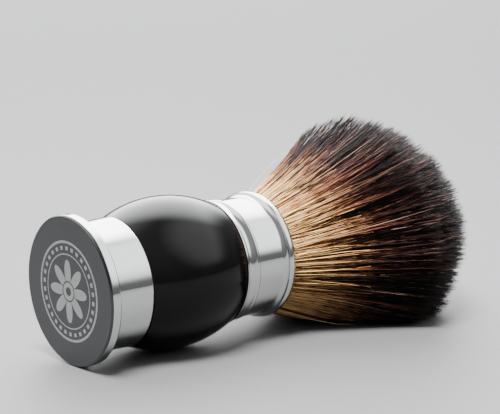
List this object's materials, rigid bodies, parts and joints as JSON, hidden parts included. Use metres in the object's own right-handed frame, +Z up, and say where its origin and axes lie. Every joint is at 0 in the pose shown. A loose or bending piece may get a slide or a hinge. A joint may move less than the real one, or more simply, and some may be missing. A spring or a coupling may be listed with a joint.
{
  "type": "shaving brush",
  "caption": "Shaving brush lying on its side: turned black resin barrel between bright plated fittings, screw-on base cap and a fanned bristle knot.",
  "frame": {"origin": "on the surface the brush lies on, under the middle of its bounding box", "axes": "+X along the handle towards the hair (the handle's axis rises 1.73 degrees towards the hair), +Z up"},
  "size_m": [0.1128, 0.0594, 0.049],
  "materials": {
    "chrome_base": "mirror-bright rim round a satin face with a laser-etched mark",
    "chrome_ring": "polished plating",
    "chrome_collar": "polished plating",
    "black_resin": "deep polished gloss",
    "black_rubber": "matt",
    "zinc_steel": "bright zinc plating",
    "weight_steel": "turned, oiled",
    "white_nylon": "moulded",
    "knot_resin": "cast amber resin",
    "adhesive": "cured clear epoxy",
    "waxed_thread": "waxed cotton thread",
    "badger_hair": "tan roots, dark brown to black tips"
  },
  "bodies": {
    "handle": {"lower_ring": "chrome_ring", "lower_gasket": "black_rubber", "barrel": "black_resin", "upper_gasket": "black_rubber", "upper_collar": "chrome_collar", "tie_rod": "zinc_steel", "tie_nut": "zinc_steel", "lock_washer": "zinc_steel", "flat_washer": "zinc_steel", "balance_weight": "weight_steel", "weight_sleeve": "white_nylon", "damping_pad": "black_rubber", "adhesive_bed": "adhesive", "knot_cup": "white_nylon", "knot_plug": "knot_resin", "knot_binding": "waxed_thread", "hair_knot": "badger_hair"},
    "cap_travel": {"cap_washer": "black_rubber"},
    "cap": {"base_cap": "chrome_base"}
  },
  "joints": [
    {"name": "cap_slide", "type": "slide", "parent": "handle", "child": "cap_travel", "axis": [-0.9995, 0, -0.0301], "range_m": [0, 0.005]},
    {"name": "cap_screw", "type": "hinge", "parent": "cap_travel", "child": "cap", "pos_m": [-0.05592, 0, 0.01682], "axis": [-0.9995, 0, -0.0301], "range_deg": [0, 1805]}
  ],
  "couplings": [
    {"joint": "cap_screw", "follows": "cap_slide", "rad_per_m": 6283.2}
  ]
}
